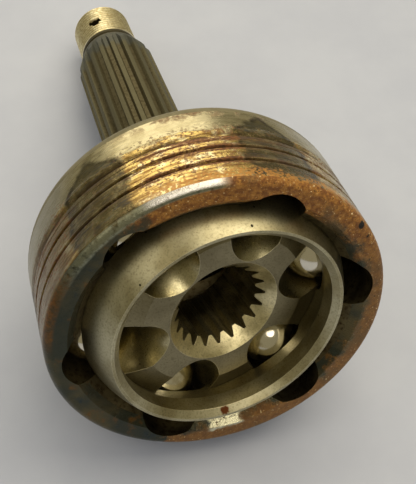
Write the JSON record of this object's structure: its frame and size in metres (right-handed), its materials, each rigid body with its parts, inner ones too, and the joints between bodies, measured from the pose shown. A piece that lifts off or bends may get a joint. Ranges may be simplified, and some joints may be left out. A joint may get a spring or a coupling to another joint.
{
  "type": "cv joint",
  "caption": "Fixed constant-velocity ball joint: bell with splined, threaded stub axle, inner race, cage and balls, bending in one plane.",
  "frame": {"origin": "the joint's own centre, where the axes of the stub axle and of the drive shaft cross", "axes": "+Y along the stub axle to its threaded end, so the bell's mouth faces -Y; +Z is the axis about which the joint bends"},
  "size_m": [0.084, 0.1659, 0.084],
  "materials": {
    "forged_steel": "turned, oily and partly rusted",
    "cage_steel": "satin ground",
    "race_steel": "satin, tracks ground bright",
    "ball_steel": "polished"
  },
  "bodies": {
    "outer_race": {"outer_race": "forged_steel"},
    "cage": {"cage": "cage_steel"},
    "inner_race": {"inner_race": "race_steel"},
    "ball_1": {"ball_1": "ball_steel"},
    "ball_2": {"ball_2": "ball_steel"},
    "ball_3": {"ball_3": "ball_steel"},
    "ball_4": {"ball_4": "ball_steel"},
    "ball_5": {"ball_5": "ball_steel"},
    "ball_6": {"ball_6": "ball_steel"}
  },
  "joints": [
    {"name": "cage_bend", "type": "hinge", "parent": "outer_race", "child": "cage", "pos_m": [0, 0, 0], "axis": [0, 0, 1], "range_deg": [-25.75, 14.25]},
    {"name": "shaft_bend", "type": "hinge", "parent": "cage", "child": "inner_race", "pos_m": [0, 0, 0], "axis": [0, 0, 1], "range_deg": [-25.75, 14.25]},
    {"name": "ball_1_roll", "type": "hinge", "parent": "outer_race", "child": "ball_1", "pos_m": [0, -0.0054, 0], "axis": [0.1305, 0, -0.9914], "range_deg": [-14.2, 25.6]},
    {"name": "ball_2_roll", "type": "hinge", "parent": "outer_race", "child": "ball_2", "pos_m": [0, -0.0054, 0], "axis": [0.9239, 0, -0.3827], "range_deg": [-5.7, 10.2]},
    {"name": "ball_3_roll", "type": "hinge", "parent": "outer_race", "child": "ball_3", "pos_m": [0, -0.0054, 0], "axis": [0.7934, 0, 0.6088], "range_deg": [-16.1, 8.9]},
    {"name": "ball_4_roll", "type": "hinge", "parent": "outer_race", "child": "ball_4", "pos_m": [0, -0.0054, 0], "axis": [-0.1305, 0, 0.9914], "range_deg": [-25.6, 14.2]},
    {"name": "ball_5_roll", "type": "hinge", "parent": "outer_race", "child": "ball_5", "pos_m": [0, -0.0054, 0], "axis": [-0.9239, 0, 0.3827], "range_deg": [-10.2, 5.7]},
    {"name": "ball_6_roll", "type": "hinge", "parent": "outer_race", "child": "ball_6", "pos_m": [0, -0.0054, 0], "axis": [-0.7934, 0, -0.6088], "range_deg": [-8.9, 16.1]}
  ],
  "couplings": [
    {"joint": "shaft_bend", "follows": "cage_bend", "ratio": 1},
    {"joint": "ball_1_roll", "follows": "cage_bend", "ratio": -0.9921},
    {"joint": "ball_2_roll", "follows": "cage_bend", "ratio": -0.395},
    {"joint": "ball_3_roll", "follows": "cage_bend", "ratio": 0.6244},
    {"joint": "ball_4_roll", "follows": "cage_bend", "ratio": 0.9921},
    {"joint": "ball_5_roll", "follows": "cage_bend", "ratio": 0.395},
    {"joint": "ball_6_roll", "follows": "cage_bend", "ratio": -0.6244}
  ]
}
